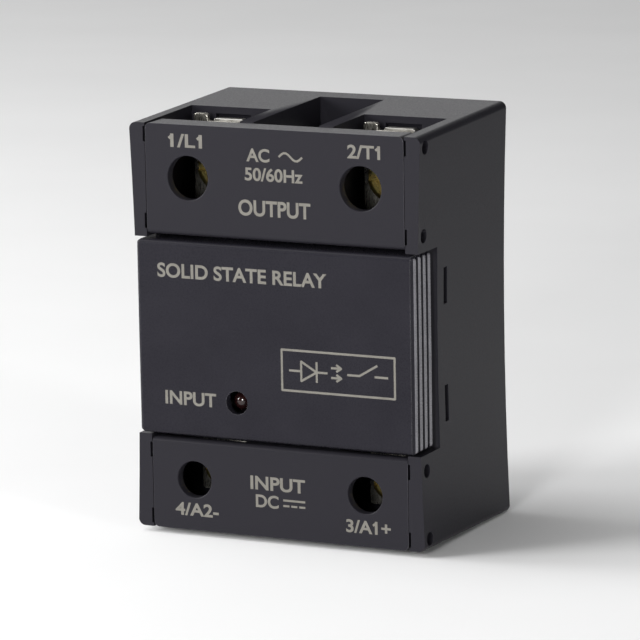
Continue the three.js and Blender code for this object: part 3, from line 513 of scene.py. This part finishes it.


# Tinted epoxy lens of the status light, unlit: dull amber red, its colour darkened to near black as painted
# shade for its hole.
def light_lens():
    return surface("tinted_epoxy_lens", ("#2b1514", "#221010"), (0.08, 0.14), 0.4, 0.001,
                   cloud=1.0, **{"IOR": 1.55, "Transmission Weight": 0.25})


# Poured potting resin: black, level and slightly glossy, with slow ripples.
def potting_resin():
    return surface("poured_potting_resin", ("#17171a", "#1d1d21"), (0.25, 0.4), 2.0, 0.02,
                   cloud=5.0, IOR=1.5)


# Matt white paper of the floor: even, with a fibre grain that does no more than soften it.
def studio_paper():
    return surface("matt_studio_paper", ("#f4f4f4", "#f1f1f1"), (0.85, 0.95), 1.5, 0.01,
                   cloud=60.0, IOR=1.45)


FINISHES = {
    "case": moulded_polyester,
    "case_edge_highlight": polyester_edge_highlight,
    "cap": moulded_nylon,
    "cap_highlight": nylon_rib_highlight,
    "ink": printed_ink,
    "nickel": nickel_plate,
    "tin": tinned_copper,
    "zinc": yellow_zinc,
    "aluminium": brushed_aluminium,
    "copper": bare_copper,
    "alumina": fired_alumina,
    "silicon": silicon_die,
    "laminate": masked_laminate,
    "epoxy": moulded_epoxy,
    "capacitor": capacitor_box,
    "resistor": resistor_coat,
    "varistor": varistor_coat,
    "lens": light_lens,
    "potting": potting_resin,
    "floor": studio_paper,
}


# ------------------------------------------------------------------ pieces


class RELAY_OT_case(bpy.types.Operator):
    """Moulded case: rounds every edge of its CAD shape"""
    bl_idname = "relay.case"
    bl_label = "Case"

    def execute(self, context):
        sizes = context.scene.relay_case
        case = dress(copy_of_node("relay_case", "case"), "case", "case_edge_highlight")
        fills = [self.fill(side, place) for side in (-1, 1) for cover in COVERS.values()
                 for place in (cover["pivot"], cover["peg"])]
        combine(case, fills, "UNION")
        # The upright recess and window edges, then every rounded edge, take the grey second finish: a
        # painted highlight line.
        bevel(case, mm(0.15), 2, self.is_upright_side_edge, 1)
        round_edges(case, sizes.edge)
        finish(case, "housing", None, ["case"])
        return {"FINISHED"}

    def fill(self, side, place):
        """Closes the mouth of a peg's groove in the rim of a side wall, behind the wall's inner face."""
        half_width, depth = mm(1.3), mm(0.92)
        return box("fill", (side * (WALL_IN + mm(0.28)), side * mm(21.1)), (RIM, RIM + depth),
                   (place - half_width, place + half_width))

    def is_upright_side_edge(self, middle, ends):
        """Upright edges of the recesses beside the cap and of the snap windows."""
        tall = abs(ends[0].z - ends[1].z) > mm(5) and abs(ends[0].x - ends[1].x) < mm(0.5)
        return tall and abs(middle.x) > mm(20.6) and mm(-13.5) < middle.y < mm(2)


class RELAY_OT_plate(bpy.types.Operator):
    """Heat-sink plate, with its edges broken"""
    bl_idname = "relay.plate"
    bl_label = "Heat-sink plate"

    def execute(self, context):
        plate = copy_of_node("relay_heat_sink_plate", "heat_sink_plate")
        round_edges(plate, context.scene.relay_metal.edge)
        finish(plate, "housing", "aluminium", ["heat_sink_plate"])
        return {"FINISHED"}


class RELAY_OT_cap(bpy.types.Operator):
    """Front cap: a shallow tray with skirts, grip ribs, snap legs and the status light's hole"""
    bl_idname = "relay.cap"
    bl_label = "Front cap"

    def execute(self, context):
        sizes = context.scene.relay_cap
        skirt, end_wall = mm(1), mm(1.3)
        back, end_back, plate_back = RIM + mm(5.4), RIM + mm(4.2), RIM + mm(0.7)
        middle_z = (CAP_LOW + CAP_HIGH) / 2
        inside = (-CAP_OUT + skirt, CAP_OUT - skirt)
        cap = dress(box("relay_front_cap", (-CAP_OUT, CAP_OUT), (CAP_FRONT, back), (CAP_LOW, CAP_HIGH)),
                    "cap", "cap_highlight")
        bevel(cap, sizes.fillet, 6,
              lambda middle, ends: near(middle.y, CAP_FRONT) and not near(middle.z, middle_z))
        hollow = box("hollow", inside, (plate_back, back + OVER), (CAP_LOW + end_wall, CAP_HIGH - end_wall))
        step = box("step", inside, (end_back, back + OVER), (CAP_LOW - OVER, CAP_HIGH + OVER))
        light_hole = rod("light_hole", LIGHT["radius"], (LIGHT["x"], CAP_FRONT - OVER, LIGHT["z"]),
                         (LIGHT["x"], plate_back + OVER, LIGHT["z"]))
        combine(cap, [hollow, step, light_hole], "DIFFERENCE")
        ribs = [self.rib(side, i, middle_z, CAP_HIGH - CAP_LOW)
                for side in (-1, 1) for i in range(sizes.rib_count)]
        legs = [self.leg(side, place) for side in (-1, 1) for place in SNAPS]
        combine(cap, ribs + legs, "UNION")
        # The rounded edges take the grey second finish: a painted highlight line.
        round_edges(cap, mm(0.12), 2, 50)
        finish(cap, "housing", None, ["front_cap"])
        return {"FINISHED"}

    def rib(self, side, i, middle, length):
        """A round rib with domed ends, half sunk in the skirt: a ball whose halves are drawn apart."""
        sizes = bpy.context.scene.relay_cap
        radius = sizes.rib_radius
        deselect()
        bpy.ops.mesh.primitive_uv_sphere_add(
            segments=24, ring_count=12, radius=radius,
            location=(side * CAP_OUT, RIM + i * sizes.rib_pitch, middle))
        rib = placed("rib")
        reach = length / 2 - radius - mm(0.1)
        for end in (-1, 1):
            edit(rib)
            bpy.ops.mesh.select_mode(type="VERT")
            bpy.ops.object.mode_set(mode="OBJECT")
            for point in rib.data.vertices:
                point.select = end * (point.co.z - middle) > mm(0.01)
            bpy.ops.object.mode_set(mode="EDIT")
            bpy.ops.transform.translate(value=(0, 0, end * reach))
            bpy.ops.object.mode_set(mode="OBJECT")
        dress(rib, "cap", "cap_highlight")
        highlight_facing = 0.62  # how squarely a face looks outwards to take the painted highlight
        # Faces that look outwards take the grey second finish, a painted highlight on the ribs' crowns.
        for face in rib.data.polygons:
            face.material_index = 1 if abs(face.normal.x) > highlight_facing else 0
        return rib

    def leg(self, side, z):
        """A leg behind the plate with a sloped hook at its end."""
        near_x, far_x = side * mm(17.25), side * mm(18.15)
        hook_x = far_x + side * mm(1.3)
        catch, tip = RIM + mm(8.95), RIM + mm(9.65)
        half = mm(2.1)
        leg = box("leg", (near_x, far_x), (RIM + mm(0.2), tip), (z - half, z + half))
        hook = box("hook", (far_x - side * mm(0.2), hook_x), (catch, tip), (z - half, z + half))
        select(hook, "edges", lambda middle, ends: near(middle.y, tip) and near(middle.x, hook_x))
        bpy.ops.transform.translate(value=(-side * mm(1.1), 0, 0))
        bpy.ops.object.mode_set(mode="OBJECT")
        return combine(leg, [hook], "UNION")


class RELAY_OT_covers(bpy.types.Operator):
    """Hinged terminal covers: plate, side ribs, end flange, pegs and driver holes"""
    bl_idname = "relay.covers"
    bl_label = "Terminal covers"

    def execute(self, context):
        for name, cover in COVERS.items():
            finish(self.shape(name, cover), f"{name}_cover", None, [f"{name}_cover"])
        return {"FINISHED"}

    def shape(self, name, cover):
        """One cover, made shut."""
        sizes = bpy.context.scene.relay_covers
        inner, outer = cover["inner"], cover["outer"]
        way = 1 if outer > inner else -1
        half = WALL_IN - sizes.side_gap
        flange, plate_back = mm(1.3), RIM + sizes.plate
        flange_back, rib_back = RIM + mm(4.05), RIM + mm(3.7)
        shape = dress(box(f"relay_{name}_cover", (-half, half), (RIM, flange_back), (inner, outer)),
                      "case", "case_edge_highlight")
        bevel(shape, sizes.corner, 6,
              lambda middle, ends: near(middle.z, outer) and near(abs(middle.x), half))
        bevel(shape, sizes.hinge_edge, 6,
              lambda middle, ends: near(middle.y, RIM) and near(middle.z, inner))
        # The front edges take the grey second finish: a painted highlight line.
        bevel(shape, sizes.edge, 3, lambda middle, ends: all(near(end.y, RIM) for end in ends) and (
            way * (middle.z - inner) > mm(1) or near(abs(middle.x), half)), 1)
        past_back, length = RIM + mm(6), (inner - way * OVER, outer - way * flange)
        room = box("room", (-half + sizes.side, half - sizes.side), (plate_back, past_back), length)
        backs = [box("back", (side * (half - sizes.side - mm(0.1)), side * (half + OVER)),
                     (rib_back, past_back), length) for side in (-1, 1)]
        holes = [rod("hole", cover["hole"], (side * TERMINAL_X, RIM - OVER, cover["screw"]),
                     (side * TERMINAL_X, RIM + mm(3), cover["screw"]), 64) for side in (-1, 1)]
        combine(shape, [room, *backs, *holes], "DIFFERENCE")
        swing_corner, hole_edge = mm(1.75), mm(0.25)
        bevel(shape, swing_corner, 8,
              lambda middle, ends: near(middle.y, rib_back) and near(middle.z, inner))
        centres = [Vector((side * TERMINAL_X, RIM, cover["screw"])) for side in (-1, 1)]
        bevel(shape, hole_edge, 3, lambda middle, ends: near(middle.y, RIM) and any(
            near((end - centre).length, cover["hole"], mm(0.04)) for end in ends for centre in centres))
        pegs = [self.peg(side, half, z, reach) for side in (-1, 1)
                for z, reach in ((cover["pivot"], mm(21.45)), (cover["peg"], mm(20.33)))]
        return combine(shape, pegs, "UNION")

    def peg(self, side, half, z, reach):
        """A round peg on a cover's side, from inside its rib out to its reach."""
        radius, depth = mm(0.8), RIM + mm(1.8)
        peg = rod("peg", radius, (side * (half - mm(0.6)), depth, z), (side * reach, depth, z), 32)
        return bevel(peg, mm(0.2), 2, lambda middle, ends: near(middle.x, side * reach))


class RELAY_OT_terminals(bpy.types.Operator):
    """Contact strips, clamp plates and nuts: their CAD shapes with stamped edges"""
    bl_idname = "relay.terminals"
    bl_label = "Terminals and clamps"

    def execute(self, context):
        edge = context.scene.relay_metal.edge
        for number, (end, side) in TERMINALS.items():
            for part, body, look, slot in (("terminal", "housing", "tin", "tinned_copper"),
                                           ("clamp", f"clamp_{number}", "nickel", "nickel_plate"),
                                           ("nut", "housing", "nickel", "nickel_plate")):
                node = f"{end}_{part}_{number}"
                piece = round_edges(copy_of_node(f"relay_{node}", node), edge)
                finish(piece, body, look, [node])
        return {"FINISHED"}


class RELAY_OT_screws(bpy.types.Operator):
    """Terminal screws: pan heads with a slot and a cross, and threaded shanks"""
    bl_idname = "relay.screws"
    bl_label = "Terminal screws"

    def execute(self, context):
        for end in ("output", "input"):
            numbers = [number for number, place in TERMINALS.items() if place[0] == end]
            first = self.shape(end, TERMINALS[numbers[0]][1])
            other = copy_of("screw", first)
            edit(other)
            bpy.ops.mesh.select_all(action="SELECT")
            step = (TERMINALS[numbers[1]][1] - TERMINALS[numbers[0]][1]) * TERMINAL_X
            bpy.ops.transform.translate(value=(step, 0, 0))
            bpy.ops.object.mode_set(mode="OBJECT")
            for number, piece in zip(numbers, (first, other)):
                piece.name = piece.data.name = f"relay_{end}_screw_{number}"
                finish(piece, f"screw_{number}", "zinc", [f"{end}_screw_{number}"], 40)
        return {"FINISHED"}

    def shape(self, end, side):
        """One screw, driven home: its head's slot and cross are cut, and its thread is a row of rings."""
        size = SCREWS[end]
        head, height = size["head"], size["height"]
        x, z = side * TERMINAL_X, COVERS[end]["screw"]
        seat = RIM + size["seat"]
        top = seat - height
        half_slot = mm(0.45)
        screw = rod("screw", head, (x, seat, z), (x, top, z), 64)
        bevel(screw, height * 0.42, 6, lambda middle, ends: near(middle.y, top))
        slot = box("slot", (x - head * 1.1, x + head * 1.1), (top - OVER, top + height * 0.42),
                   (z - half_slot, z + half_slot))
        cross = box("cross", (x - half_slot, x + half_slot), (top - OVER, top + height * 0.6),
                    (z - head * 0.55, z + head * 0.55))
        combine(screw, [slot, cross], "DIFFERENCE")
        round_edges(screw, mm(0.08), 2)
        end_y = seat + size["length"]
        shank = rod("shank", size["shank"], (x, seat - mm(0.3), z), (x, end_y, z), 32)
        bevel(shank, mm(0.4), 2, lambda middle, ends: near(middle.y, end_y))
        pieces = [screw, shank]
        pitch = bpy.context.scene.relay_metal.thread_pitch
        neck, tip = mm(1), mm(0.6)  # plain lengths under the head and at the end
        for i in range(int((size["length"] - neck - tip) / pitch)):
            deselect()
            bpy.ops.mesh.primitive_torus_add(
                major_radius=size["shank"], minor_radius=mm(0.24), major_segments=32, minor_segments=4,
                location=(x, seat + neck + i * pitch, z), rotation=(math.pi / 2, 0, 0))
            pieces.append(placed("thread"))
        return merge("screw", pieces)


class RELAY_OT_light(bpy.types.Operator):
    """Status light: a domed lens on its flange"""
    bl_idname = "relay.light"
    bl_label = "Status light"

    def execute(self, context):
        lens = round_edges(copy_of_node("relay_status_led", "status_led"), mm(0.1))
        finish(lens, "housing", "lens", ["status_led"])
        return {"FINISHED"}


class RELAY_OT_circuit(bpy.types.Operator):
    """Finishes of the pieces inside the case, which keep their CAD shapes"""
    bl_idname = "relay.circuit"
    bl_label = "Circuit inside"

    def execute(self, context):
        looks = {
            "ceramic_substrate": "alumina",
            "thyristor_left": "silicon",
            "thyristor_right": "silicon",
            "link_strap_left": "copper",
            "link_strap_right": "copper",
            "gate_pin_left": "tin",
            "gate_pin_right": "tin",
            "potting_block": "potting",
            "circuit_board": "laminate",
            "optocoupler": "epoxy",
            "current_limiter": "epoxy",
            "input_diode": "epoxy",
            "snubber_capacitor": "capacitor",
            "snubber_resistor": "resistor",
            "input_resistor": "resistor",
            "varistor": "varistor",
        }
        for node, look in looks.items():
            repaint(node, look)
        return {"FINISHED"}


class RELAY_OT_print(bpy.types.Operator):
    """Printed legends: terminal numbers and the words for the two sides"""
    bl_idname = "relay.print"
    bl_label = "Legends"

    def execute(self, context):
        for words, middle, size, front, body in LEGENDS:
            self.legend(words, middle, size, front, body)
        wave = [(1.0 + 0.35 * i, 55.6 + 0.55 * math.sin(i * math.pi / 5)) for i in range(11)]
        self.drawing("alternating", [wave], 0.3, RIM, "output_cover")
        dashes = [[(0.7 + 1.25 * i, 5.65), (1.5 + 1.25 * i, 5.65)] for i in range(3)]
        self.drawing("direct", [[(0.7, 6.45), (4.0, 6.45)], *dashes], 0.3, RIM, "input_cover")
        border = [(1.2, 22.6), (18.6, 22.6), (18.6, 28.4), (1.2, 28.4), (1.2, 22.6)]
        diode = [[(2.4, 25.5), (4.2, 25.5)], [(4.2, 26.9), (4.2, 24.1), (6.6, 25.5), (4.2, 26.9)],
                 [(6.6, 26.9), (6.6, 24.1)], [(6.6, 25.5), (8.2, 25.5)]]
        arrows = [line for z in (26.3, 24.9) for line in (
            [(8.9, z), (10.3, z)], [(9.7, z + 0.45), (10.4, z), (9.7, z - 0.45)])]
        contact = [[(11.4, 25.5), (13.2, 25.5), (15.9, 27.1)], [(15.6, 25.5), (17.5, 25.5)]]
        self.drawing("circuit_sign", [border, *diode, *arrows, *contact], 0.32, CAP_FRONT, "housing")
        return {"FINISHED"}

    def stroke(self, start, end, width, front):
        """One straight printed stroke between two places on a front face, in millimetres."""
        start, end = [Vector((mm(x), front, mm(z))) for x, z in (start, end)]
        along = end - start
        deselect()
        bpy.ops.mesh.primitive_cube_add(
            size=1, location=(start + end) / 2, rotation=(0, math.atan2(-along.z, along.x), 0),
            scale=(along.length + mm(width) * 0.5, bpy.context.scene.relay_print.thickness, mm(width)))
        return placed("stroke")

    def drawing(self, name, lines, width, front, body):
        """A printed sign made of strokes along several lines."""
        strokes = [self.stroke(a, b, width, front) for line in lines for a, b in zip(line, line[1:])]
        sign = combine(strokes[0], strokes[1:], "UNION")
        sign.name = sign.data.name = f"relay_print_{name}"
        self.settle(sign, body)

    def settle(self, piece, body):
        """Inks a printed piece and seats it on the body of the moulding that it is printed on."""
        finish(piece, body, "ink", (), 30)

    def flags(self, legend, words, front):
        """Gives each figure 1 its sloped flag, since the font draws it as a bare bar."""
        edit(legend)
        bpy.ops.mesh.select_all(action="SELECT")
        bpy.ops.mesh.remove_doubles(threshold=mm(0.0005))
        bpy.ops.mesh.separate(type="LOOSE")
        bpy.ops.object.mode_set(mode="OBJECT")
        glyphs = sorted(bpy.context.selected_objects, key=lambda part: part.bound_box[0][0])
        if len(glyphs) != len(words):
            raise RuntimeError(f"{words}: {len(glyphs)} figures found")
        for glyph, character in zip(glyphs, words):
            if character == "1":
                low, high = Vector(glyph.bound_box[0]) * 1000, Vector(glyph.bound_box[6]) * 1000
                wide, tall = high.x - low.x, high.z - low.z
                top = (high.x - wide * 0.45, high.z - wide * 0.45)
                flag = self.stroke((top[0] - tall * 0.24, top[1] - tall * 0.2), top, wide * 0.8, front)
                combine(glyph, [flag], "UNION")
        return merge(legend.name, [legend, *[glyph for glyph in glyphs if glyph != legend]])

    def legend(self, words, middle, size, front, body):
        """One line of print, stretched to its size and centred on its place on a front face."""
        deselect()
        bpy.ops.object.text_add(location=(0, 0, 0), rotation=(math.pi / 2, 0, 0))
        text = bpy.context.object
        text.data.body = words
        width, height = mm(size[0]), mm(size[1])
        capital, boldness = 0.7, 0.035  # a capital's share of the font size, and the strokes' thickening
        text.data.size = height / capital
        text.data.offset = height * boldness
        text.data.align_x = "CENTER"
        text.data.align_y = "CENTER"
        text.data.extrude = bpy.context.scene.relay_print.thickness / 2
        bpy.ops.object.convert(target="MESH")
        name = "relay_print_" + "".join(c if c.isalnum() else "_" for c in words) + f"_{body}"
        legend = placed(name)
        low, high = Vector(legend.bound_box[0]), Vector(legend.bound_box[6])
        share = Vector((width / (high.x - low.x), 1, height / (high.z - low.z)))
        legend.scale = share
        legend.location = Vector((mm(middle[0]), front, mm(middle[1]))) - (low + high) / 2 * share
        pick(legend)
        bpy.ops.object.transform_apply(location=True, rotation=True, scale=True)
        if "1" in words:
            legend = self.flags(legend, words, front)
        self.settle(legend, body)


class RELAY_OT_stage(bpy.types.Operator):
    """Pale floor, soft studio lights and the camera"""
    bl_idname = "relay.stage"
    bl_label = "Stage"

    def execute(self, context):
        sizes = context.scene.relay_stage
        deselect()
        bpy.ops.mesh.primitive_grid_add(x_subdivisions=4, y_subdivisions=4, size=sizes.floor,
                                        location=(0, 0, 0))
        floor = placed("relay_floor")
        floor.data.materials.append(finish_of("floor"))
        for lamp in LAMPS:
            self.lamp(*lamp)
        world = bpy.data.worlds.new("studio")
        world.use_nodes = True
        background = world.node_tree.nodes["Background"]
        background.inputs["Color"].default_value = (1, 1, 1, 1)
        background.inputs["Strength"].default_value = sizes.surround
        context.scene.world = world
        camera = bpy.data.cameras.new("relay_camera")
        holder = bpy.data.objects.new("relay_camera", camera)
        context.scene.collection.objects.link(holder)
        holder.location = (0.27055, -0.56123, 0.15297)
        holder.rotation_euler = [math.radians(turn) for turn in (78.801, 0.983, 25.562)]
        camera.lens, camera.sensor_width = 249.49, 36
        camera.clip_start, camera.clip_end = 0.01, 20
        context.scene.camera = holder
        context.scene.view_settings.view_transform = "Standard"
        return {"FINISHED"}

    def lamp(self, name, place, target, size, power):
        """A soft light of a width and height, aimed at a point."""
        deselect()
        bpy.ops.object.light_add(type="AREA", location=place)
        lamp = bpy.context.object
        lamp.name = name
        lamp.rotation_euler = (Vector(target) - Vector(place)).to_track_quat("-Z", "Y").to_euler()
        lamp.data.shape = "RECTANGLE"
        lamp.data.size, lamp.data.size_y = size
        lamp.data.energy = power


class RELAY_PT_panel(bpy.types.Panel):
    """Lists the relay's pieces in the sidebar"""
    bl_label = "Relay"
    bl_idname = "RELAY_PT_panel"
    bl_space_type = "VIEW_3D"
    bl_region_type = "UI"
    bl_category = "Relay"

    def draw(self, context):
        for piece in PIECES:
            self.layout.operator(piece.bl_idname)
        for group in GROUPS:
            sizes = getattr(context.scene, group)
            for name in sizes.bl_rna.properties.keys():
                if name not in ("rna_type", "name"):
                    self.layout.prop(sizes, name)


PIECES = (
    RELAY_OT_case,
    RELAY_OT_plate,
    RELAY_OT_cap,
    RELAY_OT_covers,
    RELAY_OT_terminals,
    RELAY_OT_screws,
    RELAY_OT_light,
    RELAY_OT_circuit,
    RELAY_OT_print,
    RELAY_OT_stage,
)


def register():
    for kind in (*GROUPS.values(), *PIECES, RELAY_PT_panel):
        bpy.utils.register_class(kind)
    for name, group in GROUPS.items():
        setattr(bpy.types.Scene, name, PointerProperty(type=group))


def unregister():
    for name in GROUPS:
        delattr(bpy.types.Scene, name)
    for kind in reversed((*GROUPS.values(), *PIECES, RELAY_PT_panel)):
        bpy.utils.unregister_class(kind)


def main():
    """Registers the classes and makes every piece."""
    register()
    for piece in PIECES:
        group, name = piece.bl_idname.split(".")
        getattr(getattr(bpy.ops, group), name)()


if __name__ == "__main__":
    main()
